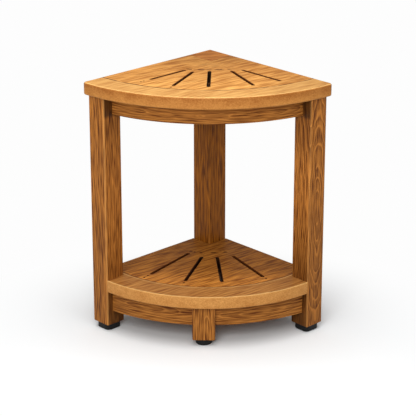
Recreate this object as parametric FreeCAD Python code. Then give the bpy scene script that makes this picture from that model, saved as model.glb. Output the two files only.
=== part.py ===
import FreeCAD, Part
import math
import os

# A three-legged corner bench of teak: a quarter-round slatted seat, a slatted shelf near the
# floor, curved and straight aprons, a short front post and four levelling feet.
# All lengths are in millimetres. The bench is built in a corner frame, whose origin is the
# corner of the room: x runs along the left wall, y along the right wall and z up. At the end
# every piece is turned so that the curved front faces -Y and the origin lies on the floor
# below the middle of the bench.

# Overall sizes
wall_side = 304.0
seat_height = 457.0
shelf_height = 100.0
foot_height = 12.0

# Boards
seat_thickness = 22.0
shelf_thickness = 22.5
seat_rim_width = 44.0
shelf_rim_width = 45.5
shelf_proud = 10.0
board_seam = 0.2
edge_round = 3.0
tip_round = 7.0
room_corner_round = 2.0
shelf_edge_round = 2.0

# Legs and front post: the back leg is the thickest
leg_side = 39.3
leg_wall_inset = 7.0
back_leg_side = 43.0
back_leg_wall_inset = 3.0
shelf_wall_inset = 1.5
leg_end_inset = 7.0
leg_round = 3.0
leg_end_round = 1.5
post_width = 40.0
post_depth = 38.0
post_proud = 9.0
post_shift = -5.0

# Rails and aprons
upper_rail_height = 32.0
lower_rail_height = 40.0
rail_thickness = 18.0
rail_inset = 4.0
apron_thickness = 16.0
upper_apron_inset = 23.0
lower_apron_inset = 12.0
rail_round = 1.0
shoulder_gap = 0.1

# Tenons and their mortises
tenon_length = 15.0
tenon_thickness = 7.0
upper_tenon_height = 20.0
lower_tenon_height = 25.0
post_tenon_length = 12.0
mortise_clearance = 0.1
tenon_root = 6.0

# Fan of the seat: the boards along the walls, the corner block and the slats between them
left_board_width = 69.0
right_board_width = 54.0
corner_block_width = 59.0
seat_hub_radius = 136.0
slot_width = 5.0
slot_chamfer = 1.0
seat_fan_angles = (-20.0, 0.0, 24.0)
seat_fan_foot_shares = (-0.16, 0.015, 0.26)
seat_slot_start_shares = (0.07, 0.12, 0.065, 0.09, 0.10)
seat_slot_end_shares = (0.69, 0.855, 0.84, 0.86, 0.82)

# Fan of the shelf: its hub piece closes against the front corner of the back leg
shelf_hub_radius = 108.0
shelf_fan_angles = (-33.0, -13.5, 5.0, 29.5)
shelf_fan_foot_shares = (-0.294, -0.067, 0.129, 0.307)
shelf_slot_start_shares = (0.053, 0.129, 0.138, 0.143)
shelf_slot_end_shares = (0.818, 0.854, 0.855, 0.868)
shelf_hub_dowel_back = 26.0

# Small blind holes in line with the slots: the number of the line and the share of its length
pin_hole_diameter = 3.0
pin_hole_depth = 3.0
seat_pin_shares = ((0, 0.80), (0, 0.85), (1, 0.926))
shelf_pin_shares = ((0, 0.881), (0, 0.951), (1, 0.909), (3, 0.928))

# Dowels between the boards
dowel_diameter = 8.0
dowel_length = 24.0
dowel_clearance = 0.05

# Screws that hold the seat and the shelf down on their rails
screw_diameter = 4.5
screw_length = 35.0
screw_bite = 14.0
screw_head_diameter = 9.0
screw_head_height = 3.0
screw_recess_diameter = 10.0
screw_socket_flats = 3.0
screw_socket_depth = 1.8
screw_clearance = 0.05
rail_screw_shares = (0.25, 0.75)

# Levelling feet
pad_side = 33.0
pad_corner_round = 9.0
post_pad_diameter = 29.0
pad_bottom_round = 2.0
pad_top_round = 0.8
pad_gap = 0.2
stud_diameter = 8.0
stud_reach = 21.5
thread_pitch = 1.25
thread_depth = 0.6
stud_hole_spare = 2.0
disc_diameter = 18.0
disc_thickness = 3.0
disc_lift = 4.0
collar_flats = 13.0
collar_height = 4.5
collar_play = 0.2
collar_recess_diameter = 16.5
collar_recess_depth = 5.0
insert_diameter = 12.0
insert_length = 16.0
running_clearance = 0.05

# Headings in degrees, from the left wall: along the bench's middle line and across it
forward_heading = 45.0
across_heading = 135.0
quarter_turn = 90.0
full_turn = 360.0
collar_sides = 6

# One overrun serves every cut, so that a cutting solid passes right through, and two places
# nearer than the tolerance count as one
overrun = 10.0
tolerance = 0.01

# Places that follow from the sizes above
seat_bottom = seat_height - seat_thickness
shelf_bottom = shelf_height - shelf_thickness
leg_outer = leg_wall_inset
leg_inner = leg_wall_inset + leg_side
back_leg_inner = back_leg_wall_inset + back_leg_side
front_leg_end = wall_side - leg_end_inset
front_leg_start = front_leg_end - leg_side
seat_rim_inner = wall_side - seat_rim_width
upper_rail_bottom = seat_bottom - upper_rail_height
lower_rail_bottom = shelf_bottom - lower_rail_height
rail_outer = leg_outer + rail_inset
rail_middle = rail_outer + rail_thickness / 2
corner_depth = (wall_side + shelf_proud + room_corner_round * (math.sqrt(2) - 1)) / 2


def diagonal_point(sideways, forward):
    """A point in the corner frame, from its way to the viewer's right and towards the front."""
    return FreeCAD.Vector((forward - sideways) / math.sqrt(2), (forward + sideways) / math.sqrt(2), 0)


def arc_through_legs(reach):
    """Centre and radius of the arc through the front corners of both legs that reaches so far
    from the corner of the room."""
    square = front_leg_end ** 2 + leg_inner ** 2
    forward = (reach ** 2 - square) / (2 * reach - math.sqrt(2) * (front_leg_end + leg_inner))
    return diagonal_point(0, forward), reach - forward


room_corner = FreeCAD.Vector(0, 0, 0)
shelf_centre, shelf_radius = arc_through_legs(wall_side + shelf_proud)
shelf_rim_inner = shelf_radius - shelf_rim_width
upper_apron_radius = wall_side - upper_apron_inset
lower_apron_centre, flush_radius = arc_through_legs(wall_side)
lower_apron_radius = flush_radius - lower_apron_inset
post_front = lower_apron_centre.Length + lower_apron_radius + post_proud
post_centre = diagonal_point(post_shift, post_front - post_depth / 2)


def cylinder(centre, radius, low, high):
    base = FreeCAD.Vector(centre.x, centre.y, low)
    return Part.makeCylinder(radius, high - low, base)


def ring(centre, inner, outer, low, high):
    return cylinder(centre, outer, low, high).cut(cylinder(centre, inner, low - overrun, high + overrun))


def block(x_from, x_to, y_from, y_to, low, high):
    base = FreeCAD.Vector(x_from, y_from, low)
    return Part.makeBox(x_to - x_from, y_to - y_from, high - low, base)


def turned_block(point, heading, ahead, sides, low, high):
    """A box from a point along a heading, between two distances to the side of it."""
    start, end = ahead
    near, far = sides
    shape = block(start, end, near, far, low, high)
    shape.rotate(room_corner, FreeCAD.Vector(0, 0, 1), heading)
    shape.translate(FreeCAD.Vector(point.x, point.y, 0))
    return shape


def heading_vector(heading):
    return FreeCAD.Vector(math.cos(math.radians(heading)), math.sin(math.radians(heading)), 0)


def hexagon(point, flats, low, high):
    corner_turn = full_turn / collar_sides
    radius = flats / 2 / math.cos(math.radians(corner_turn / 2))
    corners = []
    for number in range(collar_sides + 1):
        outward = heading_vector(corner_turn * number)
        corners.append(FreeCAD.Vector(point.x, point.y, low) + outward * radius)
    return Part.Face(Part.makePolygon(corners)).extrude(FreeCAD.Vector(0, 0, high - low))


def mirrored(shape):
    """The same shape on the other side of the diagonal, which swaps the two walls."""
    return shape.mirror(room_corner, FreeCAD.Vector(1, -1, 0))


def one_solid(shape):
    """Joins faces that lie in one surface, and keeps the piece without stray chips."""
    return max(shape.removeSplitter().Solids, key=lambda solid: solid.Volume)


def rounded(shape, radius, wanted):
    """Rounds the edges whose middle point passes the test."""
    edges = [edge for edge in shape.Edges if wanted(edge.CenterOfMass, edge)]
    return shape.makeFillet(radius, edges)


def is_upright(edge):
    ends = [vertex.Point for vertex in edge.Vertexes]
    return len(ends) == 2 and math.hypot(ends[0].x - ends[1].x, ends[0].y - ends[1].y) < tolerance


def at_level(edge, *levels):
    box = edge.BoundBox
    flat = box.ZMax - box.ZMin < tolerance
    return flat and any(abs(box.ZMin - level) < tolerance for level in levels)


def on_arc(edge, centre, radius):
    ends = [math.hypot(vertex.X - centre.x, vertex.Y - centre.y) for vertex in edge.Vertexes]
    return all(abs(way - radius) < tolerance for way in ends)


# Fan lines: each has a foot on the hub's arc and a heading, in degrees from the left wall

def heading_of(angle):
    return forward_heading + angle


def way_to_arc(point, heading, centre, radius):
    """How far the line runs from the point to the arc."""
    along = heading_vector(heading)
    offset = point - centre
    drop = offset.dot(along)
    return -drop + math.sqrt(drop ** 2 - offset.dot(offset) + radius ** 2)


def fan_line(centre, hub_radius, angle, foot_share):
    sideways = foot_share * hub_radius
    forward = math.sqrt(hub_radius ** 2 - sideways ** 2)
    return centre + diagonal_point(sideways, forward), heading_of(angle)


def side_lines():
    """The inner edges of the boards along the two walls, from the seat's hub arc on."""
    left_start = math.sqrt(seat_hub_radius ** 2 - left_board_width ** 2)
    right_start = math.sqrt(seat_hub_radius ** 2 - right_board_width ** 2)
    left = (FreeCAD.Vector(left_start, left_board_width, 0), 0.0)
    right = (FreeCAD.Vector(right_board_width, right_start, 0), quarter_turn)
    return left, right


def seat_lines():
    left, right = side_lines()
    pairs = zip(seat_fan_angles, seat_fan_foot_shares)
    middle = [fan_line(room_corner, seat_hub_radius, angle, share) for angle, share in pairs]
    return [left] + middle + [right]


def shelf_lines():
    pairs = zip(shelf_fan_angles, shelf_fan_foot_shares)
    return [fan_line(room_corner, shelf_hub_radius, angle, share) for angle, share in pairs]


def right_of(line, low, high):
    """Everything to the viewer's right of a fan line, short of it by half a seam."""
    point, heading = line
    reach = 2 * wall_side
    return turned_block(point, heading, (-reach, reach), (board_seam / 2, reach), low, high)


def left_of(line, low, high):
    point, heading = line
    reach = 2 * wall_side
    return turned_block(point, heading, (-reach, reach), (-reach, -board_seam / 2), low, high)


def chamfer_bar(start, heading, length, half, top):
    """A bar with sloping sides, widest at the top, that takes the arrises off a slit."""
    low, high = top - slot_chamfer, top + slot_chamfer
    wide = half + 2 * slot_chamfer
    corners = [(-half, low), (-wide, high), (wide, high), (half, low), (-half, low)]
    outline = [FreeCAD.Vector(0, side, level) for side, level in corners]
    bar = Part.Face(Part.makePolygon(outline)).extrude(FreeCAD.Vector(length, 0, 0))
    bar.rotate(room_corner, FreeCAD.Vector(0, 0, 1), heading)
    bar.translate(FreeCAD.Vector(start.x, start.y, 0))
    return bar


def chamfer_cone(point, half, top):
    base = FreeCAD.Vector(point.x, point.y, top - slot_chamfer)
    return Part.makeCone(half, half + 2 * slot_chamfer, 2 * slot_chamfer, base)


def slot(line, span, start_share, end_share, low, high):
    """A slit with round ends and broken arrises, along a fan line."""
    point, heading = line
    half = slot_width / 2
    start = point + heading_vector(heading) * (span * start_share + half)
    end = point + heading_vector(heading) * (span * end_share - half)
    length = (end - start).Length
    over = high + overrun
    bar = turned_block(start, heading, (0, length), (-half, half), low - overrun, over)
    return bar.fuse([cylinder(start, half, low - overrun, over), cylinder(end, half, low - overrun, over),
                     chamfer_bar(start, heading, length, half, high),
                     chamfer_cone(start, half, high), chamfer_cone(end, half, high)])


def slots(lines, arc, start_shares, end_shares, low, high):
    centre, radius = arc
    cuts = []
    for line, start_share, end_share in zip(lines, start_shares, end_shares):
        span = way_to_arc(line[0], line[1], centre, radius)
        cuts.append(slot(line, span, start_share, end_share, low, high))
    return cuts


def pin_holes(lines, arc, pin_shares, top):
    holes = []
    for number, share in pin_shares:
        point, heading = lines[number]
        spot = point + heading_vector(heading) * (way_to_arc(point, heading, *arc) * share)
        holes.append(cylinder(spot, pin_hole_diameter / 2, top - pin_hole_depth, top + overrun))
    return holes


# Dowels lie flat at half the board's thickness, across a seam

def dowel(point, heading, level, growth=0.0):
    half = dowel_length / 2 + growth
    along = heading_vector(heading)
    base = FreeCAD.Vector(point.x, point.y, level) - along * half
    return Part.makeCylinder(dowel_diameter / 2 + growth, 2 * half, base, along)


def slat_middle(left, right, centre, radius):
    """The point of the arc half way between two fan lines, and the way out from the centre."""
    ends = [point + heading_vector(heading) * way_to_arc(point, heading, centre, radius)
            for point, heading in (left, right)]
    outward = ends[0] + ends[1] - centre * 2
    heading = math.degrees(math.atan2(outward.y, outward.x))
    return centre + heading_vector(heading) * radius, heading


def slat_dowel_places(lines, hub, rim):
    """One dowel at each end of every slat. In a narrow end beside a wall board it lies along
    that board, so that it stays inside the slat and the hub."""
    places = []
    for left, right in zip(lines, lines[1:]):
        point, heading = slat_middle(left, right, *hub)
        walls = [line[1] for line in (left, right) if line[1] in (0.0, quarter_turn)]
        places.append((point, walls[0] if walls else heading))
        places.append(slat_middle(left, right, *rim))
    return places


def seat_dowel_places():
    lines = seat_lines()
    places = slat_dowel_places(lines, (room_corner, seat_hub_radius), (room_corner, seat_rim_inner))
    left, right = side_lines()
    hub_left = (right_board_width + left[0].x) / 2
    hub_right = (left_board_width + right[0].y) / 2
    places.append((FreeCAD.Vector(hub_left, left_board_width, 0), quarter_turn))
    places.append((FreeCAD.Vector(right_board_width, hub_right, 0), 0.0))
    places.append((FreeCAD.Vector(right_board_width, corner_block_width / 2, 0), 0.0))
    places.append((FreeCAD.Vector(right_board_width / 2, corner_block_width, 0), quarter_turn))
    left_across, right_across = left_board_width / 2, right_board_width / 2
    left_along = math.sqrt(seat_rim_inner ** 2 - left_across ** 2)
    right_along = math.sqrt(seat_rim_inner ** 2 - right_across ** 2)
    places.append((FreeCAD.Vector(left_along, left_across, 0), 0.0))
    places.append((FreeCAD.Vector(right_across, right_along, 0), quarter_turn))
    return places


def shelf_dowel_places():
    lines = shelf_lines()
    rim = (shelf_centre, shelf_rim_inner)
    places = slat_dowel_places(lines, (room_corner, shelf_hub_radius), rim)
    for point, heading in (lines[0], lines[-1]):
        back = heading_vector(heading) * shelf_hub_dowel_back
        places.append((point - back, heading + quarter_turn))
        way = way_to_arc(point, heading, *rim)
        side = 1 if heading > forward_heading else -1
        seam_end = point + heading_vector(heading) * way - shelf_centre
        turn = side * math.degrees(math.asin(dowel_length / shelf_rim_inner))
        outward = math.degrees(math.atan2(seam_end.y, seam_end.x)) + turn
        places.append((shelf_centre + heading_vector(outward) * shelf_rim_inner, outward))
    return places


def dowels(places, level, growth=0.0):
    return [dowel(point, heading, level, growth) for point, heading in places]


# Screws stand head down in the rails and bite into the board above

def screw(point, board_bottom, growth=0.0):
    tip = board_bottom + screw_bite + growth
    head = board_bottom + screw_bite - screw_length
    shank = cylinder(point, screw_diameter / 2 + growth, head, tip)
    seat = head + screw_head_height
    if growth:
        mouth = head - lower_rail_height
        return shank.fuse(cylinder(point, screw_recess_diameter / 2, mouth, seat))
    button = cylinder(point, screw_head_diameter / 2, head, seat)
    socket = hexagon(point, screw_socket_flats, head - overrun, head + screw_socket_depth)
    return one_solid(shank.fuse(button).cut(socket))


def side_rail_screw_points():
    length = front_leg_start - back_leg_inner
    points = []
    for share in rail_screw_shares:
        along = back_leg_inner + share * length
        points.append(FreeCAD.Vector(along, rail_middle, 0))
        points.append(FreeCAD.Vector(rail_middle, along, 0))
    return points


def points_on_arc(lines, centre, radius):
    points = []
    for point, heading in lines:
        points.append(point + heading_vector(heading) * way_to_arc(point, heading, centre, radius))
    return points


def seat_screw_points():
    middle = upper_apron_radius - apron_thickness / 2
    return side_rail_screw_points() + points_on_arc(seat_lines()[1:-1], room_corner, middle)


def shelf_screw_points():
    middle = lower_apron_radius - apron_thickness / 2
    return side_rail_screw_points() + points_on_arc(shelf_lines(), lower_apron_centre, middle)


def screws(points, board_bottom, growth=0.0):
    return [screw(point, board_bottom, growth) for point in points]


# Seat boards

def seat_outline(low, high):
    return cylinder(room_corner, wall_side, low, high).common(
        block(0, wall_side + overrun, 0, wall_side + overrun, low, high))


def seat_cuts():
    arc = (room_corner, seat_rim_inner)
    cuts = slots(seat_lines(), arc, seat_slot_start_shares, seat_slot_end_shares, seat_bottom,
                 seat_height)
    cuts += pin_holes(seat_lines(), arc, seat_pin_shares, seat_height)
    cuts += dowels(seat_dowel_places(), seat_height - seat_thickness / 2, dowel_clearance)
    cuts += screws(seat_screw_points(), seat_bottom, screw_clearance)
    return cuts


def seat_rim():
    """The curved front board, from wall to wall, with its two rounded tips."""
    half = board_seam / 2
    shape = seat_outline(seat_bottom, seat_height).cut(
        cylinder(room_corner, seat_rim_inner + half, seat_bottom - overrun, seat_height + overrun))
    shape = rounded(shape, tip_round, lambda middle, edge: is_upright(edge)
                    and math.hypot(middle.x, middle.y) > wall_side - tolerance)
    return rounded(shape, edge_round, lambda middle, edge: at_level(edge, seat_bottom, seat_height)
                   and not on_arc(edge, room_corner, seat_rim_inner + half))


def wall_edges_rounded(shape, radius, wall_line, low, high):
    """Rounds the long edges that run along a wall."""
    return rounded(shape, radius, lambda middle, edge: at_level(edge, low, high)
                   and min(edge.BoundBox.XMax, edge.BoundBox.YMax) < wall_line + tolerance)


def seat_left_board():
    half = board_seam / 2
    shape = block(right_board_width + half, wall_side, 0, left_board_width - half,
                  seat_bottom, seat_height)
    shape = shape.common(cylinder(room_corner, seat_rim_inner - half, seat_bottom, seat_height))
    return wall_edges_rounded(shape, edge_round, 0, seat_bottom, seat_height)


def seat_right_board():
    half = board_seam / 2
    shape = block(0, right_board_width - half, corner_block_width + half, wall_side,
                  seat_bottom, seat_height)
    shape = shape.common(cylinder(room_corner, seat_rim_inner - half, seat_bottom, seat_height))
    return wall_edges_rounded(shape, edge_round, 0, seat_bottom, seat_height)


def seat_corner_block():
    half = board_seam / 2
    shape = block(0, right_board_width - half, 0, corner_block_width - half,
                  seat_bottom, seat_height)
    shape = rounded(shape, room_corner_round, lambda middle, edge: is_upright(edge)
                    and middle.x + middle.y < tolerance)
    seam_x = right_board_width - half - tolerance
    seam_y = corner_block_width - half - tolerance
    return rounded(shape, edge_round, lambda middle, edge: at_level(edge, seat_bottom, seat_height)
                   and middle.x < seam_x and middle.y < seam_y)


def seat_hub():
    left, right = side_lines()
    shape = cylinder(room_corner, seat_hub_radius - board_seam / 2, seat_bottom, seat_height)
    shape = shape.common(right_of(left, seat_bottom, seat_height))
    return shape.common(left_of(right, seat_bottom, seat_height))


def slats(lines, hub, rim, low, high):
    """The wedges between neighbouring fan lines, from the hub's arc to the rim."""
    half = board_seam / 2
    field = cylinder(rim[0], rim[1] - half, low, high).cut(
        cylinder(hub[0], hub[1] + half, low - overrun, high + overrun))
    pieces = []
    for left, right in zip(lines, lines[1:]):
        pieces.append(field.common(right_of(left, low, high)).common(left_of(right, low, high)))
    return pieces


def seat_boards():
    pieces = {
        "seat_rim": seat_rim(),
        "seat_board_left": seat_left_board(),
        "seat_board_right": seat_right_board(),
        "seat_corner_block": seat_corner_block(),
        "seat_hub": seat_hub(),
    }
    wedges = slats(seat_lines(), (room_corner, seat_hub_radius), (room_corner, seat_rim_inner),
                   seat_bottom, seat_height)
    for number, wedge in enumerate(wedges, 1):
        pieces["seat_slat_%d" % number] = wedge
    cuts = seat_cuts()
    return {name: one_solid(shape.cut(cuts)) for name, shape in pieces.items()}


# Places of the legs

def side_of_leg(name):
    return back_leg_side if name == "back" else leg_side


def leg_points():
    corner = back_leg_wall_inset + back_leg_side / 2
    wall = leg_outer + leg_side / 2
    front = front_leg_start + leg_side / 2
    return {
        "back": FreeCAD.Vector(corner, corner, 0),
        "left": FreeCAD.Vector(front, wall, 0),
        "right": FreeCAD.Vector(wall, front, 0),
    }


# Shelf boards

def leg_spaces(low, high, growth):
    """The upright spaces of the legs, grown on all sides by a gap."""
    spaces = []
    for name, point in leg_points().items():
        reach = side_of_leg(name) / 2 + growth
        spaces.append(block(point.x - reach, point.x + reach, point.y - reach, point.y + reach,
                            low, high))
    return spaces


def shelf_cuts():
    arc = (shelf_centre, shelf_rim_inner)
    cuts = slots(shelf_lines(), arc, shelf_slot_start_shares, shelf_slot_end_shares, shelf_bottom,
                 shelf_height)
    cuts += pin_holes(shelf_lines(), arc, shelf_pin_shares, shelf_height)
    cuts += leg_spaces(shelf_bottom - overrun, shelf_height + overrun, board_seam)
    cuts += dowels(shelf_dowel_places(), shelf_height - shelf_thickness / 2, dowel_clearance)
    cuts += screws(shelf_screw_points(), shelf_bottom, screw_clearance)
    return cuts


def shelf_rim():
    half = board_seam / 2
    start = leg_inner + board_seam
    shape = ring(shelf_centre, shelf_rim_inner + half, shelf_radius, shelf_bottom, shelf_height)
    shape = shape.common(block(start, wall_side, start, wall_side, shelf_bottom, shelf_height))
    return rounded(shape, shelf_edge_round, lambda middle, edge: at_level(edge, shelf_bottom, shelf_height)
                   and on_arc(edge, shelf_centre, shelf_radius))


def shelf_left_board():
    half = board_seam / 2
    line = shelf_lines()[0]
    field = cylinder(shelf_centre, shelf_rim_inner - half, shelf_bottom, shelf_height)
    end = front_leg_start - board_seam
    strip = block(back_leg_inner, end, shelf_wall_inset, leg_inner, shelf_bottom, shelf_height)
    shape = field.fuse(strip).common(left_of(line, shelf_bottom, shelf_height))
    shape = shape.common(block(back_leg_inner, end, shelf_wall_inset, wall_side,
                               shelf_bottom, shelf_height))
    shape = one_solid(shape)
    return wall_edges_rounded(shape, shelf_edge_round, shelf_wall_inset, shelf_bottom, shelf_height)


def shelf_right_board():
    half = board_seam / 2
    line = shelf_lines()[-1]
    field = cylinder(shelf_centre, shelf_rim_inner - half, shelf_bottom, shelf_height)
    end = front_leg_start - board_seam
    strip = block(shelf_wall_inset, leg_inner, back_leg_inner, end, shelf_bottom, shelf_height)
    shape = field.fuse(strip).common(right_of(line, shelf_bottom, shelf_height))
    shape = shape.common(block(shelf_wall_inset, wall_side, back_leg_inner, end,
                               shelf_bottom, shelf_height))
    shape = one_solid(shape)
    return wall_edges_rounded(shape, shelf_edge_round, shelf_wall_inset, shelf_bottom, shelf_height)


def shelf_hub():
    """The piece between the outer fan lines, which meet inside the back leg's corner."""
    lines = shelf_lines()
    shape = cylinder(room_corner, shelf_hub_radius - board_seam / 2, shelf_bottom, shelf_height)
    shape = shape.common(right_of(lines[0], shelf_bottom, shelf_height))
    return shape.common(left_of(lines[-1], shelf_bottom, shelf_height))


def shelf_boards():
    pieces = {
        "shelf_rim": shelf_rim(),
        "shelf_board_left": shelf_left_board(),
        "shelf_board_right": shelf_right_board(),
        "shelf_hub": shelf_hub(),
    }
    wedges = slats(shelf_lines(), (room_corner, shelf_hub_radius), (shelf_centre, shelf_rim_inner),
                   shelf_bottom, shelf_height)
    for number, wedge in enumerate(wedges, 1):
        pieces["shelf_slat_%d" % number] = wedge
    cuts = shelf_cuts()
    return {name: one_solid(shape.cut(cuts)) for name, shape in pieces.items()}


# Tenons: each is given by its middle line, and is grown for the mortise that takes it

def side_rail_tenons(low, height, tenon_height, growth=0.0):
    """Both ends of the rail along the left wall."""
    middle = low + height / 2
    half_height = tenon_height / 2 + growth
    half_thickness = tenon_thickness / 2 + growth
    tenons = []
    for face, way in ((back_leg_inner, -1), (front_leg_start, 1)):
        tip = face + way * (tenon_length + growth)
        root = face - way * tenon_root
        tenons.append(block(min(tip, root), max(tip, root), rail_middle - half_thickness,
                            rail_middle + half_thickness, middle - half_height, middle + half_height))
    return tenons


def apron_leg_tenon(centre, radius, low, height, tenon_height, growth=0.0):
    """The tenon of a curved apron in the left leg, square to the leg's inner face."""
    middle_radius = radius - apron_thickness / 2
    across = centre.x + math.sqrt(middle_radius ** 2 - (leg_inner - centre.y) ** 2)
    middle = low + height / 2
    half_height = tenon_height / 2 + growth
    half_thickness = tenon_thickness / 2 + growth
    return block(across - half_thickness, across + half_thickness, leg_inner - tenon_length - growth,
                 leg_inner + tenon_root, middle - half_height, middle + half_height)


def post_tenons(growth=0.0):
    """The tenons of the two lower aprons in the sides of the front post: left, right."""
    middle_radius = lower_apron_radius - apron_thickness / 2
    middle = lower_rail_bottom + lower_rail_height / 2
    half_height = lower_tenon_height / 2 + growth
    half_thickness = tenon_thickness / 2 + growth
    tenons = []
    for side in (-1, 1):
        face = post_shift + side * post_width / 2
        forward = lower_apron_centre.Length + math.sqrt(middle_radius ** 2 - face ** 2)
        tip = face - side * (post_tenon_length + growth)
        root = face + side * tenon_root
        start, end = min(tip, root), max(tip, root)
        tenons.append(turned_block(diagonal_point(0, forward), across_heading, (start, end),
                                   (-half_thickness, half_thickness), middle - half_height,
                                   middle + half_height))
    return tenons


def upper_apron_tenons(growth=0.0):
    left = apron_leg_tenon(room_corner, upper_apron_radius, upper_rail_bottom, upper_rail_height,
                           upper_tenon_height, growth)
    return [left, mirrored(left)]


def lower_apron_leg_tenons(growth=0.0):
    left = apron_leg_tenon(lower_apron_centre, lower_apron_radius, lower_rail_bottom, lower_rail_height,
                           lower_tenon_height, growth)
    return [left, mirrored(left)]


def all_leg_mortises():
    sides = side_rail_tenons(upper_rail_bottom, upper_rail_height, upper_tenon_height,
                             mortise_clearance)
    sides += side_rail_tenons(lower_rail_bottom, lower_rail_height, lower_tenon_height,
                              mortise_clearance)
    return (sides + [mirrored(tenon) for tenon in sides] + upper_apron_tenons(mortise_clearance)
            + lower_apron_leg_tenons(mortise_clearance))


# Rails and aprons

def side_rail(low, height, tenon_height, board_bottom):
    """The rail along the left wall, from the back leg to the front one."""
    bar = block(back_leg_inner + shoulder_gap, front_leg_start - shoulder_gap, rail_outer,
                rail_outer + rail_thickness, low, low + height)
    bar = rounded(bar, rail_round, lambda middle, edge: at_level(edge, low)
                  and edge.BoundBox.XMax - edge.BoundBox.XMin > leg_side)
    bar = bar.fuse(side_rail_tenons(low, height, tenon_height))
    return one_solid(bar).cut(screws(side_rail_screw_points(), board_bottom, screw_clearance))


def apron_ring(centre, radius, low, height):
    """A curved apron from leg to leg, cut square against the legs' inner faces."""
    start = leg_inner + shoulder_gap
    shape = ring(centre, radius - apron_thickness, radius, low, low + height)
    shape = shape.common(block(start, wall_side, start, wall_side, low, low + height))
    inner = radius - apron_thickness
    return rounded(shape, rail_round, lambda middle, edge: at_level(edge, low)
                   and (on_arc(edge, centre, radius) or on_arc(edge, centre, inner)))


def upper_apron():
    shape = apron_ring(room_corner, upper_apron_radius, upper_rail_bottom, upper_rail_height)
    shape = one_solid(shape.fuse(upper_apron_tenons()))
    return one_solid(shape.cut(screws(seat_screw_points(), seat_bottom, screw_clearance)))


def lower_aprons():
    """The two halves of the lower apron, left and right of the front post."""
    whole = apron_ring(lower_apron_centre, lower_apron_radius, lower_rail_bottom, lower_rail_height)
    leg_tenons = lower_apron_leg_tenons()
    ends = post_tenons()
    holes = screws(shelf_screw_points(), shelf_bottom, screw_clearance)
    halves = []
    for side, leg_tenon, post_tenon in zip((-1, 1), leg_tenons, ends):
        face = post_shift + side * (post_width / 2 + shoulder_gap)
        far = side * wall_side
        start, end = min(face, far), max(face, far)
        half = turned_block(room_corner, across_heading, (start, end), (-2 * wall_side, 2 * wall_side),
                            lower_rail_bottom, shelf_bottom)
        shape = one_solid(whole.common(half).fuse([leg_tenon, post_tenon]))
        halves.append(one_solid(shape.cut(holes)))
    return halves


# Legs, post and feet

def foot_hole(point):
    """The space in the end grain for the insert, the stud and the collar of a levelling foot."""
    insert_low = foot_height + collar_recess_depth
    stud_top = foot_height + collar_play + collar_height + stud_reach
    recess = cylinder(point, collar_recess_diameter / 2, foot_height - overrun, insert_low)
    bore = cylinder(point, insert_diameter / 2 + running_clearance, foot_height,
                    insert_low + insert_length)
    tip = cylinder(point, stud_diameter / 2 + stud_hole_spare / 2, foot_height,
                   stud_top + stud_hole_spare)
    return recess.fuse([bore, tip])


def leg(point, side, mortises):
    half = side / 2
    shape = block(point.x - half, point.x + half, point.y - half, point.y + half,
                  foot_height, seat_bottom)
    shape = rounded(shape, leg_round, lambda middle, edge: is_upright(edge))
    shape = rounded(shape, leg_end_round, lambda middle, edge: at_level(edge, foot_height))
    return one_solid(shape.cut(mortises + [foot_hole(point)]))


def front_post():
    shape = turned_block(post_centre, forward_heading, (-post_depth / 2, post_depth / 2),
                         (-post_width / 2, post_width / 2), foot_height, shelf_bottom)
    shape = rounded(shape, leg_round, lambda middle, edge: is_upright(edge))
    shape = rounded(shape, leg_end_round, lambda middle, edge: at_level(edge, foot_height))
    return one_solid(shape.cut(post_tenons(mortise_clearance) + [foot_hole(post_centre)]))


def threaded_insert(point):
    low = foot_height + collar_recess_depth
    inner = stud_diameter / 2 + running_clearance
    return ring(point, inner, insert_diameter / 2, low, low + insert_length)


def disc_space(point):
    """The hollow moulded in the pad round the disc of the stud, and the hole for its neck."""
    space = cylinder(point, disc_diameter / 2 + running_clearance, disc_lift - running_clearance,
                     disc_lift + disc_thickness + running_clearance)
    neck = cylinder(point, stud_diameter / 2 + running_clearance, disc_lift, foot_height)
    return space.fuse(neck)


def pad_rounded(shape, point):
    top = foot_height - pad_gap
    shape = rounded(shape, pad_bottom_round, lambda middle, edge: at_level(edge, 0))
    shape = rounded(shape, pad_top_round, lambda middle, edge: at_level(edge, top))
    return one_solid(shape.cut(disc_space(point)))


def leg_pad(point):
    half = pad_side / 2
    top = foot_height - pad_gap
    shape = block(point.x - half, point.x + half, point.y - half, point.y + half, 0, top)
    shape = rounded(shape, pad_corner_round, lambda middle, edge: is_upright(edge))
    return pad_rounded(shape, point)


def post_pad(point):
    return pad_rounded(cylinder(point, post_pad_diameter / 2, 0, foot_height - pad_gap), point)


def threaded_shank(point, low, high):
    """A shank ringed with one ridge to each turn of the thread, up to a plain tip."""
    crest = stud_diameter / 2
    turns = int((high - low) / thread_pitch) - 1
    outline = [FreeCAD.Vector(0, 0, low), FreeCAD.Vector(crest, 0, low)]
    for number in range(turns):
        foot = low + number * thread_pitch
        outline.append(FreeCAD.Vector(crest - thread_depth, 0, foot + thread_pitch / 2))
        outline.append(FreeCAD.Vector(crest, 0, foot + thread_pitch))
    outline.append(FreeCAD.Vector(crest - thread_depth, 0, high))
    outline.append(FreeCAD.Vector(0, 0, high))
    outline.append(outline[0])
    shank = Part.Face(Part.makePolygon(outline)).revolve(room_corner, FreeCAD.Vector(0, 0, 1), full_turn)
    shank.translate(FreeCAD.Vector(point.x, point.y, 0))
    return shank


def foot_stud(point):
    """Disc, neck, six-sided collar and threaded shank of a levelling foot."""
    collar_low = foot_height - pad_gap + collar_play
    collar_high = collar_low + collar_height
    disc = cylinder(point, disc_diameter / 2, disc_lift, disc_lift + disc_thickness)
    neck = cylinder(point, stud_diameter / 2, disc_lift, collar_high)
    collar = hexagon(point, collar_flats, collar_low, collar_high)
    shank = threaded_shank(point, collar_high, collar_high + stud_reach)
    return one_solid(shank.fuse([disc, neck, collar]))


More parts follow.
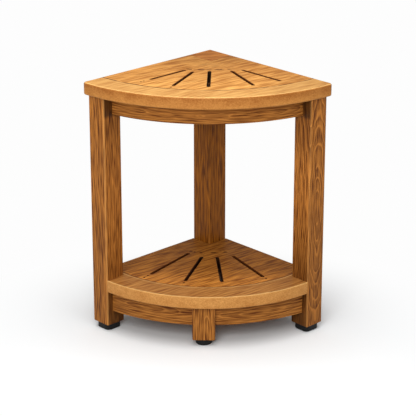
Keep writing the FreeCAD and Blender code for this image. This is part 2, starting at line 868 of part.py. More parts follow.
def foot_points():
    points = leg_points()
    points["post"] = post_centre
    return points


def build():
    points = foot_points()
    mortises = all_leg_mortises()
    pieces = {}
    for name, point in leg_points().items():
        pieces["leg_" + name] = leg(point, side_of_leg(name), mortises)
    pieces["front_post"] = front_post()
    upper_rail = side_rail(upper_rail_bottom, upper_rail_height, upper_tenon_height, seat_bottom)
    lower_rail = side_rail(lower_rail_bottom, lower_rail_height, lower_tenon_height, shelf_bottom)
    pieces["upper_rail_left"] = one_solid(upper_rail)
    pieces["upper_rail_right"] = one_solid(mirrored(upper_rail))
    pieces["lower_rail_left"] = one_solid(lower_rail)
    pieces["lower_rail_right"] = one_solid(mirrored(lower_rail))
    pieces["upper_apron"] = upper_apron()
    pieces["lower_apron_left"], pieces["lower_apron_right"] = lower_aprons()
    pieces.update(seat_boards())
    pieces.update(shelf_boards())
    seat_level = seat_height - seat_thickness / 2
    shelf_level = shelf_height - shelf_thickness / 2
    pieces["seat_dowels"] = Part.makeCompound(dowels(seat_dowel_places(), seat_level))
    pieces["shelf_dowels"] = Part.makeCompound(dowels(shelf_dowel_places(), shelf_level))
    pieces["seat_screws"] = Part.makeCompound(screws(seat_screw_points(), seat_bottom))
    pieces["shelf_screws"] = Part.makeCompound(screws(shelf_screw_points(), shelf_bottom))
    pieces["threaded_inserts"] = Part.makeCompound([threaded_insert(point) for point in points.values()])
    for name, point in points.items():
        pieces["foot_pad_" + name] = post_pad(point) if name == "post" else leg_pad(point)
        pieces["foot_stud_" + name] = foot_stud(point)
    return pieces


def placed(shape):
    """Turns a piece from the corner frame into the frame of the bench."""
    shape = shape.copy()
    shape.rotate(room_corner, FreeCAD.Vector(0, 0, 1), -across_heading)
    shape.translate(FreeCAD.Vector(0, corner_depth, 0))
    return shape


def main():
    os.makedirs("parts", exist_ok=True)
    for name, shape in build().items():
        placed(shape).exportStep("parts/%s.step" % name)
        print(name, len(shape.Solids), shape.isValid(), round(shape.Volume))


main()
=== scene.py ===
import math

import bmesh
import bpy
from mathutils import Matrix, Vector

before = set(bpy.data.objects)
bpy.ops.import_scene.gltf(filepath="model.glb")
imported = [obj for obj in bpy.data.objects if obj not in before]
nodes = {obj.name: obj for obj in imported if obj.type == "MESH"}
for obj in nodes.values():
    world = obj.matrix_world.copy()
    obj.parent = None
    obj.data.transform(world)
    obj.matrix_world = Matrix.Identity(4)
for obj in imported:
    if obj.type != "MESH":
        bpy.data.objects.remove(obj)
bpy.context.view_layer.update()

# A corner shower bench of oiled teak on four levelling feet. Lengths are in metres, in the frame
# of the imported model: the curved front faces -Y and the floor is at height 0.
MM = 0.001

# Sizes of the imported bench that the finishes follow. The hub joints, the seat's rim and the upper
# apron run round the corner of the room; the shelf's rim and the lower apron run round points in
# front of it. The joints, fronts and faces are distances from those points.
CORNER_Y = 157.414 * MM
SHELF_RIM_Y = 99.567 * MM
LOWER_APRON_Y = 140.571 * MM
SEAT_TOP = 457 * MM
SEAT_THICKNESS = 22 * MM
SEAT_FRONT = 304 * MM
SEAT_RIM_JOINT = 260 * MM
SEAT_HUB_JOINT = 136 * MM
SHELF_TOP = 100 * MM
SHELF_THICKNESS = 22.5 * MM
SHELF_FRONT = 256.152 * MM
SHELF_RIM_JOINT = 210.652 * MM
SHELF_HUB_JOINT = 108 * MM
UPPER_APRON_FACE = 281 * MM
LOWER_APRON_FACE = 275.157 * MM
BACK_LEG_Y = 122.766 * MM
BACK_LEG_HALF = 21.5 * MM
FRONT_LEG_X = 177.272 * MM
FRONT_LEG_Y = -57.546 * MM
FRONT_LEG_HALF = 19.65 * MM
# The pin holes of the seat and the shelf, in millimetres
SEAT_PINS = ((-109.6, -49.8), (-114.3, -54.5), (-61.4, -85.8))
SHELF_PINS = ((-106.3, -60.6), (-112.2, -69.7), (-41.3, -92.1), (104.0, -70.6))


class Shade:
    """A socket in the nodes of a finish, so that shader maths reads as plain expressions."""

    def __init__(self, finish, socket):
        self.finish = finish
        self.socket = socket

    def math(self, operation, *others, turned=False, clamp=False):
        values = [self, *others]
        if turned:
            values.reverse()
        return self.finish.node("ShaderNodeMath", {"operation": operation, "use_clamp": clamp},
                                dict(enumerate(values)))

    def __add__(self, other):
        return self.math("ADD", other)

    def __radd__(self, other):
        return self.math("ADD", other)

    def __sub__(self, other):
        return self.math("SUBTRACT", other)

    def __rsub__(self, other):
        return self.math("SUBTRACT", other, turned=True)

    def __mul__(self, other):
        return self.math("MULTIPLY", other)

    def __rmul__(self, other):
        return self.math("MULTIPLY", other)

    def __truediv__(self, other):
        return self.math("DIVIDE", other)

    def __rtruediv__(self, other):
        return self.math("DIVIDE", other, turned=True)

    def part(self):
        return self.math("FRACT")

    def size(self):
        return self.math("ABSOLUTE")

    def root(self):
        return self.math("SQRT")

    def within(self):
        """The same value, kept between 0 and 1."""
        return self.math("ADD", 0.0, clamp=True)

    def step(self, low, high):
        """0 below low, 1 above high and a smooth way between them."""
        return self.finish.node("ShaderNodeMapRange", {"interpolation_type": "SMOOTHSTEP"},
                                {"Value": self, "From Min": low, "From Max": high})

    def hill(self, rise, fall):
        """1 from the end of the rise to the start of the fall, and 0 outside them."""
        return self.step(*rise) * (1.0 - self.step(*fall))


class Finish:
    """A material or a world whose nodes are made from expressions."""

    def __init__(self, owner):
        owner.use_nodes = True
        self.owner = owner
        self.tree = owner.node_tree
        self.tree.nodes.clear()

    def node(self, kind, settings=None, inputs=None, output=0):
        """Makes a node with its settings and the values or links of its sockets. Gives one of its
        outputs, if it has any."""
        made = self.tree.nodes.new(kind)
        for name, value in (settings or {}).items():
            setattr(made, name, value)
        for key, value in (inputs or {}).items():
            if isinstance(value, Shade):
                self.tree.links.new(value.socket, made.inputs[key])
            else:
                made.inputs[key].default_value = value
        return Shade(self, made.outputs[output]) if made.outputs else None

    def place(self):
        return self.node("ShaderNodeTexCoord", output="Object")

    def laid(self, point, turn, place=None):
        """Coordinates in metres from a point, along axes turned by three angles in degrees."""
        angles = [math.radians(angle) for angle in turn]
        return self.node("ShaderNodeMapping", {"vector_type": "TEXTURE"},
                         {"Vector": place or self.place(), "Location": point, "Rotation": angles})

    def reach_from(self, centre_y):
        """The level distance from the upright line through a point of the middle line."""
        x, y, z = self.axes(self.place())
        back = y - centre_y
        return (x * x + back * back).root()

    def bent(self, centre_y, radius):
        """Coordinates that follow a curved board: across the view, out of its face and up."""
        x, y, z = self.axes(self.place())
        return self.node("ShaderNodeCombineXYZ", {},
                         {0: x, 1: self.reach_from(centre_y) - radius, 2: z})

    def stretched(self, vector, scales):
        return self.node("ShaderNodeVectorMath", {"operation": "MULTIPLY"},
                         {0: vector, 1: scales})

    def axes(self, vector):
        first = self.node("ShaderNodeSeparateXYZ", {}, {0: vector})
        return [Shade(self, socket) for socket in first.socket.node.outputs]

    def noise(self, vector, detail=2.0, roughness=0.5, distortion=0.0, scale=1.0):
        return self.node("ShaderNodeTexNoise", {"noise_dimensions": "3D"},
                         {"Vector": vector, "Scale": scale, "Detail": detail,
                          "Roughness": roughness, "Distortion": distortion})

    def mixed(self, share, first, second):
        """The first colour where the share is 0, and the second where it is 1."""
        return self.node("ShaderNodeMix", {"data_type": "RGBA", "clamp_factor": True},
                         {0: share, 6: first, 7: second}, output=2)

    def tinted(self, share, base, gain):
        """The colour where the share is 0, and the colour times the gain where it is 1."""
        return self.node("ShaderNodeMix", {"data_type": "RGBA", "blend_type": "MULTIPLY",
                                           "clamp_factor": True, "clamp_result": False},
                         {0: share, 6: base, 7: (*gain, 1.0)}, output=2)

    def bump(self, height, distance, strength):
        return self.node("ShaderNodeBump", {},
                         {"Height": height, "Distance": distance, "Strength": strength})

    def shaded(self, **values):
        """Ends the material in one principled shader."""
        names = {key.replace("_", " "): value for key, value in values.items()}
        return self.surface(self.node("ShaderNodeBsdfPrincipled", {}, names))

    def surface(self, shader, kind="ShaderNodeOutputMaterial"):
        self.node(kind, {}, {"Surface": shader})
        return self.owner


def material(name):
    return Finish(bpy.data.materials.new(name))


def colour(red, green, blue):
    """A colour from the display's 0 to 255, as the linear values that a shader takes."""
    linear = []
    for value in (red, green, blue):
        share = value / 255
        linear.append(share / 12.92 if share <= 0.04045 else ((share + 0.055) / 1.055) ** 2.4)
    return (*linear, 1.0)


def darkened(tone, level):
    return (*(value * level for value in tone[:3]), 1.0)


# The noises of teak: waves to the metre along the grain and across it
GRAIN_SWING = (4.0, 14.0)
CLOUDS = (6.0, 30.0)
HEART_WANDER = (22.0, 6.0)
RING_WAVER = (14.0, 70.0)
BANDS = (5.0, 90.0)
FIBRES = (12.0, 230.0)
HAIRS = (30.0, 480.0)
PORES = (80.0, 1400.0)
# The parts of one ring, as shares of its width: each rises and falls between two of them
LATE_WOOD = ((0.50, 0.94), (0.94, 1.0))
EARLY_WOOD = ((0.0, 0.08), (0.10, 0.32))
# How far the rings waver, in their own widths, and how far the heart swings
RING_WAVE = 0.9
SWING_REACH = 14 * MM
# What the noise of pores and hairs has to reach to show as a pore or a dark hair, how strongly it
# is painted and how much of the dark tone is left in it
PORE_LEVEL = (0.60, 0.72)
PORE_SHARE = 0.5
PORE_DARK = 0.35
HAIR_LEVEL = (0.14, 0.32)
HAIR_SHARE = 0.2
HAIR_DARK = 0.4
TEAK_ROUGHNESS = 0.46
TEAK_GLOSS = 0.12
GRAIN_RELIEF = 0.25 * MM


def teak(name, light, dark, turn, point=(0, 0, 0), pith=(50, 30), tilt=0.0, bow=0.0, ring=3.2,
         rings=0.35, lines=0.0, bands=1.4, streaks=1.5, threads=1.6, clouds=0.8, swing=1.0,
         wander=0.0, fine=1.0, short=1.0, bend=None, marks=None):
    """Oiled teak, between a light and a dark tone. The grain runs along the first turned axis
    through the point, or along the board where it has a bend. The heart of the tree lies at the
    pith's distances in millimetres along the other two axes; it leans away by the tilt, bends away
    by the bow, and swings and wanders. The ring is the width of one in millimetres; rings darkens
    the late wood, and lines lightens the start of the next ring. Clouds, bands, streaks and
    threads, from wide to narrow, lie along the grain: fine packs them closer, and short cuts them
    shorter. The marks of a piece are painted over it all."""
    finish = material(name)
    laid = finish.laid(point, turn, finish.bent(*bend) if bend else None)
    along, across, depth = finish.axes(laid)

    def grain(waves, detail, shorter=1.0, closer=1.0, **kind):
        packed = waves[1] * closer
        return finish.noise(finish.stretched(laid, (waves[0] * shorter, packed, packed)),
                            detail=detail, **kind)

    to_side = grain(GRAIN_SWING, 2.0) - 0.5
    cloud = grain(CLOUDS, 2.0, distortion=0.3) - 0.5
    side = across + to_side * (swing * SWING_REACH) - pith[0] * MM
    away = depth + along * tilt + along * along * bow - pith[1] * MM
    if wander:
        away = away + (grain(HEART_WANDER, 1.0) - 0.5) * (wander * MM)
    radius = (side * side + away * away).root()
    waver = grain(RING_WAVER, 1.0) - 0.5
    phase = (radius / (ring * MM) + waver * RING_WAVE).part()
    late = phase.hill(*LATE_WOOD)
    early = phase.hill(*EARLY_WOOD)
    band = grain(BANDS, 2.0, closer=fine, roughness=0.55) - 0.5
    fibres = grain(FIBRES, 1.0, short, fine, roughness=0.6) - 0.5
    hairs = grain(HAIRS, 0.0, short, fine) - 0.5
    pores = grain(PORES, 1.0).step(*PORE_LEVEL) * (0.35 + late * 0.65)
    tone = (0.5 + cloud * clouds + band * bands + fibres * streaks + hairs * threads
            - (late - 0.25) * rings + early * lines)
    base = finish.mixed(tone.within(), dark, light)
    base = finish.mixed(pores * PORE_SHARE, base, darkened(dark, PORE_DARK))
    base = finish.mixed(hairs.step(*HAIR_LEVEL) * (HAIR_SHARE * threads), base,
                        darkened(dark, HAIR_DARK))
    if marks is not None:
        base = marks(finish, base)
    rough = TEAK_ROUGHNESS + fibres * 0.25 + pores * 0.2
    height = fibres * 0.5 + hairs * 0.3 - late * 0.25 - pores * 0.9
    return finish.shaded(Base_Color=base, Roughness=rough.within(), Specular_IOR_Level=TEAK_GLOSS,
                         Normal=finish.bump(height, GRAIN_RELIEF, 0.5))


# The tones of the marks
# painted shade on the sides of the slots, brown at their ends and black in the middle where one
# looks through into shade
SLOT_SHADE = colour(84, 40, 12)
SLOT_BLACK_SHADE = colour(26, 12, 5)
SEAM_DARK = colour(84, 42, 14)
# painted highlight: the pale line in front of the rim's seam
SEAM_HIGHLIGHT = colour(226, 172, 104)
# painted highlight: the pale line along the front arrises of the seat and the shelf
ARRIS_HIGHLIGHT = colour(255, 214, 140)
# painted highlight on the upright arrises of the legs
LEG_HIGHLIGHT = colour(226, 160, 88)
# painted shade: its tone in the corner of the seat and the shelf, and on the legs
PAINTED_SHADE = colour(44, 22, 6)
# painted shade: the gain that darkens the right-hand ends of the seat and the shelf
RIGHT_SHADE_GAIN = (0.88, 0.87, 0.86)

# The marks on the seat and the shelf: where each fades in, or out where its name says so
RIGHT_END = (70 * MM, 140 * MM)
PAST_RIM_JOINT = (0.4 * MM, 1.2 * MM)
IN_FROM_WALL = (14 * MM, 17 * MM)
BELOW_TOP = (0.05 * MM, 0.3 * MM)
ABOVE_UNDERSIDE = (0.4 * MM, 1.2 * MM)
BLACK_SLOT_ENDS = (8 * MM, 40 * MM)
PIN_HOLE_ENDS = (1.4 * MM, 2.8 * MM)
HUB_SEAM_ENDS = (30 * MM, 48 * MM)
BACK_SHADE_ENDS = (60 * MM, 170 * MM)
# The seam of the rim is patchy and that of the hub is in dashes: waves of the noise to the metre,
# and what it has to reach
PATCH_WAVES = 45.0
PATCH_LEVEL = (0.22, 0.50)
DASH_WAVES = 110.0
DASH_LEVEL = (0.47, 0.53)
SLOT_SHARE = 0.96
PIN_SHARE = 0.85
RIM_SEAM_WIDTH = 2.2 * MM
PALE_LINE_WIDTH = 2.0 * MM
PALE_LINE_AHEAD = 2.8 * MM
HUB_SEAM_WIDTH = 4.2 * MM


def near_line(distance, width):
    """1 on a line and 0 farther off than the width."""
    return 1.0 - distance.size().step(width * 0.35, width)


def fan_marks(top, thickness, rim_y, rim_joint, hub_joint, rim_dark, rim_highlight, hub_dark,
              corner_shade, front_from, front_to, front_light_gain, pins):
    """The marks of a fan of boards: painted light makes them paler towards the front, and painted
    shade darkens the right-hand end, the corner and the sides of the slots. There are dark pin
    holes, the seam of the rim with a painted highlight in front of it, and the seam of the hub in
    dashes."""
    def paint(finish, base):
        place = finish.place()
        x, y, z = finish.axes(place)
        from_corner = finish.reach_from(CORNER_Y)
        from_rim_point = finish.reach_from(rim_y)
        ahead = CORNER_Y - y
        to_wall = (ahead - x.size()) * math.sqrt(0.5)
        # painted light: the boards grow paler towards the front
        base = finish.tinted(ahead.step(front_from, front_to), base, front_light_gain)
        # painted shade: the right-hand end is darkened
        base = finish.tinted(x.step(*RIGHT_END), base, RIGHT_SHADE_GAIN)

        past_rim = (from_rim_point - rim_joint).step(*PAST_RIM_JOINT)
        among_slots = (1.0 - past_rim) * to_wall.step(*IN_FROM_WALL)
        deep = (top - z).step(*BELOW_TOP) * (z - (top - thickness)).step(*ABOVE_UNDERSIDE)
        # painted shade on the sides of the slots, below the top and above the underside
        slot_shade_tone = finish.mixed(x.size().step(*BLACK_SLOT_ENDS), SLOT_BLACK_SHADE, SLOT_SHADE)
        base = finish.mixed(deep * among_slots * SLOT_SHARE, base, slot_shade_tone)
        for pin_x, pin_y in pins:
            across, along = x - pin_x * MM, y - pin_y * MM
            hole = 1.0 - (across * across + along * along).root().step(*PIN_HOLE_ENDS)
            base = finish.mixed(hole * PIN_SHARE, base, SEAM_DARK)

        patchy = finish.noise(place, detail=1.0, scale=PATCH_WAVES).step(*PATCH_LEVEL)
        rim_seam = near_line(from_rim_point - rim_joint, RIM_SEAM_WIDTH) * patchy
        base = finish.mixed(rim_seam * rim_dark, base, SEAM_DARK)
        # painted highlight: a pale line just in front of the rim's seam
        highlight_line = near_line(from_rim_point - rim_joint - PALE_LINE_AHEAD, PALE_LINE_WIDTH)
        base = finish.mixed(highlight_line * rim_highlight, base, SEAM_HIGHLIGHT)
        dashes = finish.noise(place, detail=1.0, scale=DASH_WAVES).step(*DASH_LEVEL)
        hub_seam = near_line(from_corner - hub_joint, HUB_SEAM_WIDTH) * dashes
        hub_seam = hub_seam * (1.0 - x.size().step(*HUB_SEAM_ENDS))
        base = finish.mixed(hub_seam * hub_dark, base, SEAM_DARK)
        # painted shade: the boards darken towards the corner of the room
        in_corner = 1.0 - from_corner.step(*BACK_SHADE_ENDS)
        return finish.mixed(in_corner * corner_shade, base, PAINTED_SHADE)
    return paint


# The front face of a rim: how far behind the front it starts, how far under the top, and the
# noises of its cut end grain, in waves to the metre
FACE_BEHIND = (-3.5 * MM, -2.5 * MM)
FACE_UNDER = (0.6 * MM, 1.2 * MM)
FACE_HEIGHT = 22 * MM
ARRIS_FADE = 1.4 * MM
FACE_CLOUDS = (40.0, 40.0, 70.0)
FACE_SPECKS = (330.0, 330.0, 420.0)
FACE_SPOTS = 260.0
SPOT_LEVEL = (0.62, 0.74)


def face_marks(centre_y, front, top, light, dark, shade_lift, painted_highlight, arris):
    """The front face of a rim is cut across the grain, and shows a fine speckle. Painted light and
    shade shift its tone between its top and its foot, and a painted highlight lies along the arris
    over it."""
    def paint(finish, base):
        place = finish.place()
        x, y, z = finish.axes(place)
        down = top - z
        before_front = finish.reach_from(centre_y) - front
        # painted highlight along the arris over the face
        edge = before_front.step(-arris, ARRIS_FADE - arris)
        base = finish.mixed(edge * painted_highlight, base, ARRIS_HIGHLIGHT)
        face = before_front.step(*FACE_BEHIND) * down.step(*FACE_UNDER)
        cloudy = finish.noise(finish.stretched(place, FACE_CLOUDS), detail=2.0)
        speck = finish.noise(finish.stretched(place, FACE_SPECKS), detail=2.0, roughness=0.7)
        spots = finish.noise(place, detail=1.0, scale=FACE_SPOTS).step(*SPOT_LEVEL)
        tone = 0.5 + (cloudy - 0.5) * 0.9 + (speck - 0.5) * 1.6 - spots * 0.2
        # painted light and shade: the face's tone shifts from its top to its foot
        tone = tone + (down / FACE_HEIGHT - 0.5) * shade_lift
        return finish.mixed(face, base, finish.mixed(tone.within(), dark, light))
    return paint


# Heights on the legs between which painted shade fades in, or out where its name says so
BESIDE_UPPER_APRON = (396 * MM, 405 * MM)
NEAR_UPPER_APRON = (280 * MM, 400 * MM)
BESIDE_LOWER_APRON_ENDS = (70 * MM, 79 * MM)
OVER_SHELF_ENDS = (90 * MM, 260 * MM)
FOOT_ENDS = (90 * MM, 300 * MM)
BEHIND_UPPER_APRON = (345 * MM, 385 * MM)
BESIDE_UPPER_SHARE = 0.5
NEAR_UPPER_SHARE = 0.32
BESIDE_LOWER_SHARE = 0.66
# Where the inner face of a leg and the painted highlights on its arrises begin, from its faces
INNER_FACE = (-1.4 * MM, -0.5 * MM)
LEG_ARRIS = (-3.2 * MM, -1.6 * MM)


def leg_marks(x, y, half, painted_highlight, foot, inner=None, low=0.0, crown_shade=0.0):
    """The upright arrises of a leg carry a painted highlight, and painted shade darkens its foot.
    Its inner face, which looks along the given axis, is darkened with painted shade beside the
    aprons and low over the shelf. Painted shade also darkens the top of the back leg on all its
    faces, for what shows of it through a slot of the seat."""
    def paint(finish, base):
        first, second, z = finish.axes(finish.laid((x, y, 0), (0, 0, 45)))
        if inner is not None:
            # painted shade on the inner face: beside the aprons, under the seat and low over the
            # shelf
            facing = (0.0 - (first, second)[inner] - half).step(*INNER_FACE)
            over_apron = z.step(*BESIDE_LOWER_APRON_ENDS)
            dark = (z.step(*BESIDE_UPPER_APRON) * BESIDE_UPPER_SHARE
                    + z.step(*NEAR_UPPER_APRON) * NEAR_UPPER_SHARE)
            dark = dark + (1.0 - over_apron) * BESIDE_LOWER_SHARE
            dark = dark + (1.0 - z.step(*OVER_SHELF_ENDS)) * over_apron * low
            base = finish.mixed(facing * dark, base, PAINTED_SHADE)
        # painted shade: each leg is darker towards its foot
        base = finish.mixed((1.0 - z.step(*FOOT_ENDS)) * foot, base, PAINTED_SHADE)
        # painted shade at the top of the back leg, for what shows of it through a slot of the seat
        base = finish.mixed(z.step(*BEHIND_UPPER_APRON) * crown_shade, base, PAINTED_SHADE)
        # painted highlight along the upright arrises
        nearer = first.size().math("MINIMUM", second.size())
        arris = (nearer - half).step(*LEG_ARRIS)
        return finish.mixed(arris * painted_highlight, base, LEG_HIGHLIGHT)
    return paint


def both(first, second):
    return lambda finish, base: second(finish, first(finish, base))


def rubber():
    finish = material("rubber")
    place = finish.place()
    grain = finish.noise(place, detail=3.0, roughness=0.6, scale=900.0)
    cloudy = finish.noise(place, detail=2.0, scale=60.0)
    base = finish.mixed(cloudy, colour(9, 9, 9), colour(20, 20, 21))
    rough = 0.52 + (cloudy - 0.5) * 0.2
    return finish.shaded(Base_Color=base, Roughness=rough, Specular_IOR_Level=0.25,
                         Normal=finish.bump(grain, 0.1 * MM, 0.6))


def steel():
    finish = material("steel")
    place = finish.place()
    brushed = finish.noise(finish.stretched(place, (60.0, 60.0, 2400.0)), detail=2.0)
    cloudy = finish.noise(place, detail=2.0, scale=140.0)
    base = finish.mixed(cloudy, colour(150, 152, 155), colour(196, 197, 198))
    rough = 0.30 + (brushed - 0.5) * 0.2
    return finish.shaded(Base_Color=base, Roughness=rough, Metallic=1.0,
                         Normal=finish.bump(brushed, 0.02 * MM, 0.5))


def brass():
    finish = material("brass")
    place = finish.place()
    cloudy = finish.noise(place, detail=2.0, scale=160.0)
    base = finish.mixed(cloudy, colour(150, 112, 52), colour(206, 168, 92))
    return finish.shaded(Base_Color=base, Roughness=0.28 + cloudy * 0.2, Metallic=1.0,
                         Normal=finish.bump(cloudy, 0.02 * MM, 0.4))


def dress(name, finish):
    piece = nodes[name]
    piece.data.materials.clear()
    piece.data.materials.append(finish)


# Teak tones: light and dark streaks
FIELD = (colour(224, 158, 81), colour(169, 105, 43))
CORNER = (colour(215, 138, 66), colour(150, 86, 34))
RIM = (colour(212, 157, 87), colour(172, 112, 53))
SHELF = (colour(192, 124, 50), colour(118, 64, 18))
SHELF_RIM = (colour(168, 115, 58), colour(116, 67, 25))
SEAT_FACE = (colour(214, 146, 74), colour(172, 104, 44))
SHELF_FACE = (colour(232, 168, 94), colour(192, 124, 58))
LEG = (colour(216, 138, 60), colour(100, 48, 10))
BACK_LEG = (colour(188, 114, 32), colour(92, 44, 4))
APRON = (colour(206, 134, 60), colour(104, 52, 14))

# The seat and the shelf: the grain of all their boards runs nearly one way
# the fans' marks paint light towards the front, shade in the corner, at the right-hand end and in
# the slots, and highlights
seat_fan = fan_marks(SEAT_TOP, SEAT_THICKNESS, CORNER_Y, SEAT_RIM_JOINT, SEAT_HUB_JOINT,
                     rim_dark=0.9, rim_highlight=0.35, hub_dark=0.9, corner_shade=0.24,
                     front_from=110 * MM, front_to=270 * MM, front_light_gain=(1.28, 1.4, 1.55),
                     pins=SEAT_PINS)
seat_face = face_marks(CORNER_Y, SEAT_FRONT, SEAT_TOP, *SEAT_FACE,
                       shade_lift=0.8, painted_highlight=0.35, arris=3.3 * MM)
shelf_fan = fan_marks(SHELF_TOP, SHELF_THICKNESS, SHELF_RIM_Y, SHELF_RIM_JOINT, SHELF_HUB_JOINT,
                      rim_dark=0.6, rim_highlight=0.6, hub_dark=1.0, corner_shade=0.22,
                      front_from=175 * MM, front_to=250 * MM, front_light_gain=(1.6, 1.65, 1.7),
                      pins=SHELF_PINS)
shelf_face = face_marks(SHELF_RIM_Y, SHELF_FRONT, SHELF_TOP, *SHELF_FACE,
                        shade_lift=-0.2, painted_highlight=0.5, arris=2.1 * MM)
rim_figure = {"bands": 0.35, "streaks": 0.8, "threads": 1.4, "clouds": 0.3}


def field(name, tones, heading, point, marks, **figure):
    return teak(name, *tones, (0, 0, heading), point=point, pith=(20, -160), ring=5.0, rings=0.2,
                fine=0.5, marks=marks, **figure)


seat_field = field("teak_seat", FIELD, 37, (0.4, 0.1, 0.4), seat_fan,
                   bands=0.6, streaks=1.1, threads=2.2, clouds=0.5)
for name in ("seat_board_left", "seat_board_right", "seat_hub", "seat_slat_1", "seat_slat_2",
             "seat_slat_3", "seat_slat_4"):
    dress(name, seat_field)
seat_corner = field("teak_seat_corner", CORNER, 33, (0.1, 0.3, 0.4), seat_fan,
                    bands=0.9, streaks=1.6, threads=2.2)
dress("seat_corner_block", seat_corner)
seat_rim = field("teak_seat_rim", RIM, 38, (0.7, 0.2, 0.4), both(seat_fan, seat_face),
                 **rim_figure)
dress("seat_rim", seat_rim)
shelf_field = field("teak_shelf", SHELF, 38, (0.2, 0.9, 0.1), shelf_fan,
                    bands=0.5, streaks=0.9, threads=1.9, clouds=0.5)
for name in ("shelf_board_left", "shelf_board_right", "shelf_hub", "shelf_slat_1", "shelf_slat_2",
             "shelf_slat_3"):
    dress(name, shelf_field)
shelf_rim = field("teak_shelf_rim", SHELF_RIM, 37, (0.5, 0.4, 0.1), both(shelf_fan, shelf_face),
                  **rim_figure)
dress("shelf_rim", shelf_rim)

# Legs: upright grain; the second turned axis runs forward to the left of the viewer, and the
# third out of the right-hand face
UPRIGHT = (0, -90, 135)
frame_figure = {"bands": 0.4, "streaks": 1.1, "threads": 1.6, "clouds": 0.4, "fine": 1.2,
                "short": 1.2}
# painted highlights on the arrises, and painted shade at the foot, on the inner face and at the top
# of the back leg
back_marks = leg_marks(0.0, BACK_LEG_Y, BACK_LEG_HALF, painted_highlight=0.12, foot=0.20, crown_shade=0.85)
left_marks = leg_marks(-FRONT_LEG_X, FRONT_LEG_Y, FRONT_LEG_HALF, painted_highlight=0.45, foot=0.12,
                       inner=1, low=0.2)
right_marks = leg_marks(FRONT_LEG_X, FRONT_LEG_Y, FRONT_LEG_HALF, painted_highlight=0.28, foot=0.18,
                        inner=0, low=0.42)
back_leg = teak("teak_leg_back", *BACK_LEG, UPRIGHT, point=(0.0152, 0.1075, 0.28), pith=(-6, -9),
                tilt=0.03, ring=4.5, rings=0.30, lines=0.2, swing=1.3, marks=back_marks,
                **frame_figure)
dress("leg_back", back_leg)
left_leg = teak("teak_leg_left", *LEG, UPRIGHT, point=(-0.1634, -0.0714, 0.33), pith=(2, -8),
                tilt=0.07, ring=4.5, rings=0.25, lines=0.25, marks=left_marks, **frame_figure)
dress("leg_left", left_leg)
right_leg = teak("teak_leg_right", *LEG, UPRIGHT, point=(0.1912, -0.0714, 0.235), pith=(-1, 0),
                 tilt=0.14, wander=10, ring=4.0, rings=0.22, lines=0.6, swing=0.5,
                 marks=right_marks, **frame_figure)
dress("leg_right", right_leg)
post = teak("teak_front_post", *APRON, (0, -90, 90), point=(-0.005, -0.1436, 0.03), pith=(-5, 0),
            tilt=0.15, wander=8, ring=4.0, rings=0.22, lines=0.4, **frame_figure)
dress("front_post", post)


# Aprons and rails: the grain follows them, the curved ones in the coordinates of their bend
def apron(name, point, bend, pith, tilt, wander, swing, bow=0.0):
    made = teak("teak_" + name, *APRON, (90, 0, 0), point=point, bend=bend, pith=pith, tilt=tilt,
                bow=bow, wander=wander, ring=4.0, rings=0.22, lines=0.35, swing=swing,
                **frame_figure)
    dress(name, made)


lower_bend = (LOWER_APRON_Y, LOWER_APRON_FACE)
apron("upper_apron", (0.10, 0, 0.418), (CORNER_Y, UPPER_APRON_FACE), (0, 0), 0.10, 10, 0.6,
      bow=0.40)
apron("lower_apron_left", (-0.11, 0, 0.055), lower_bend, (6, 0), 0.12, 8, 0.8)
apron("lower_apron_right", (0.10, 0, 0.06), lower_bend, (-4, 0), -0.12, 8, 0.8)
for number, (name, heading) in enumerate((("upper_rail_left", 45), ("upper_rail_right", -45),
                                          ("lower_rail_left", 45), ("lower_rail_right", -45))):
    rail = teak("teak_" + name, *APRON, (0, 0, heading), point=(0.2 * number, 0, 0.4),
                pith=(20, 12), ring=3.2, **frame_figure)
    dress(name, rail)

# Dowels, screws, inserts and feet
plug_teak = teak("teak_dowels", *FIELD, (0, 0, 0))
for name in ("seat_dowels", "shelf_dowels"):
    dress(name, plug_teak)
bright_steel = steel()
for name in ("seat_screws", "shelf_screws"):
    dress(name, bright_steel)
dress("threaded_inserts", brass())
black_rubber = rubber()
for place in ("back", "left", "right", "post"):
    dress("foot_pad_" + place, black_rubber)
    dress("foot_stud_" + place, bright_steel)

# Floor, light and camera. The floor takes the bench's shadow near it, and farther off it shows the
# backdrop's tone to the camera, in gloss and through glass; as light it is a plain grey.
BACKDROP = (0.983, 0.983, 0.983, 1.0)
FLOOR_SEEN = (0.915, 0.93, 0.935, 1.0)
FLOOR_GREY = (0.45, 0.45, 0.45, 1.0)
FLOOR_SIZE = 14.0
SHADOW_AHEAD = 0.15
SHADOW_ENDS = (0.22, 0.50)
SURROUNDING_LIGHT = 0.34
# The camera looks at the target from these angles in degrees and this distance in metres; its
# focal length and the width of the picture are in pixels
AZIMUTH = 1.22
ELEVATION = 20.57
TARGET = Vector((-0.00056, 0.005, 0.20465))
DISTANCE = 3.139
FOCAL_PIXELS = 1750
PICTURE_PIXELS = 416
SENSOR_WIDTH = 36


def lit_floor():
    finish = material("floor")
    diffuse = finish.node("ShaderNodeBsdfDiffuse", {}, {"Color": FLOOR_GREY})
    seen = finish.node("ShaderNodeBsdfDiffuse", {}, {"Color": FLOOR_SEEN})
    white = finish.node("ShaderNodeEmission", {}, {"Color": BACKDROP, "Strength": 1.0})
    x, y, z = finish.axes(finish.place())
    ahead = y + SHADOW_AHEAD
    far = (x * x + ahead * ahead).root().step(*SHADOW_ENDS)
    seen = finish.node("ShaderNodeMixShader", {}, {0: far, 1: seen, 2: white})
    shows = finish.node("ShaderNodeLightPath", output="Is Camera Ray")
    for kind in ("Is Glossy Ray", "Is Transmission Ray"):
        shows = shows.math("MAXIMUM", finish.node("ShaderNodeLightPath", output=kind))
    return finish.surface(finish.node("ShaderNodeMixShader", {}, {0: shows, 1: diffuse, 2: seen}))


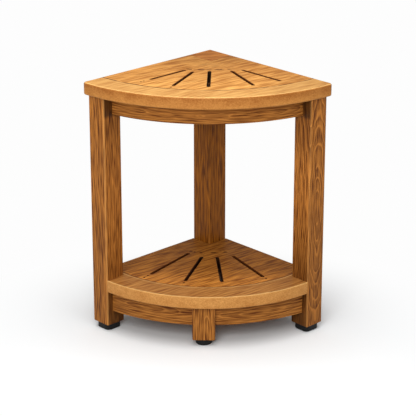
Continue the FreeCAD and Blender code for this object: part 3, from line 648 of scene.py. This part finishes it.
def floor():
    shape = bmesh.new()
    bmesh.ops.create_grid(shape, x_segments=8, y_segments=8, size=FLOOR_SIZE)
    mesh = bpy.data.meshes.new("floor")
    shape.to_mesh(mesh)
    shape.free()
    mesh.materials.append(lit_floor())
    made = bpy.data.objects.new("floor", mesh)
    bpy.context.scene.collection.objects.link(made)


def softbox(name, place, target, size, power):
    lamp = bpy.data.lights.new(name, "AREA")
    lamp.shape = "SQUARE"
    lamp.size = size
    lamp.energy = power
    made = bpy.data.objects.new(name, lamp)
    made.location = place
    made.rotation_euler = (Vector(target) - Vector(place)).to_track_quat("-Z", "Y").to_euler()
    bpy.context.scene.collection.objects.link(made)


def surroundings():
    """A soft light from all sides, behind which the camera sees the backdrop."""
    finish = Finish(bpy.data.worlds.new("studio"))
    seen = finish.node("ShaderNodeLightPath", output="Is Camera Ray")
    soft = finish.node("ShaderNodeBackground", {}, {"Strength": SURROUNDING_LIGHT})
    white = finish.node("ShaderNodeBackground", {}, {"Color": BACKDROP})
    choice = finish.node("ShaderNodeMixShader", {}, {0: seen, 1: soft, 2: white})
    bpy.context.scene.world = finish.surface(choice, "ShaderNodeOutputWorld")


def camera():
    azimuth, elevation = math.radians(AZIMUTH), math.radians(ELEVATION)
    back = Vector((math.sin(azimuth) * math.cos(elevation),
                   -math.cos(azimuth) * math.cos(elevation), math.sin(elevation)))
    lens = bpy.data.cameras.new("camera")
    lens.lens = FOCAL_PIXELS / PICTURE_PIXELS * SENSOR_WIDTH
    lens.sensor_width = SENSOR_WIDTH
    made = bpy.data.objects.new("camera", lens)
    made.location = TARGET + back * DISTANCE
    made.rotation_euler = (-back).to_track_quat("-Z", "Y").to_euler()
    bpy.context.scene.collection.objects.link(made)
    bpy.context.scene.camera = made


floor()
softbox("top_light", place=(0.0, -0.35, 2.0), target=(0, 0, 0.2), size=1.6, power=30)
softbox("front_light", place=(-0.28, -1.95, 1.35), target=(0, 0, 0.25), size=1.1, power=25)
surroundings()
camera()
bpy.context.scene.view_settings.view_transform = "Standard"
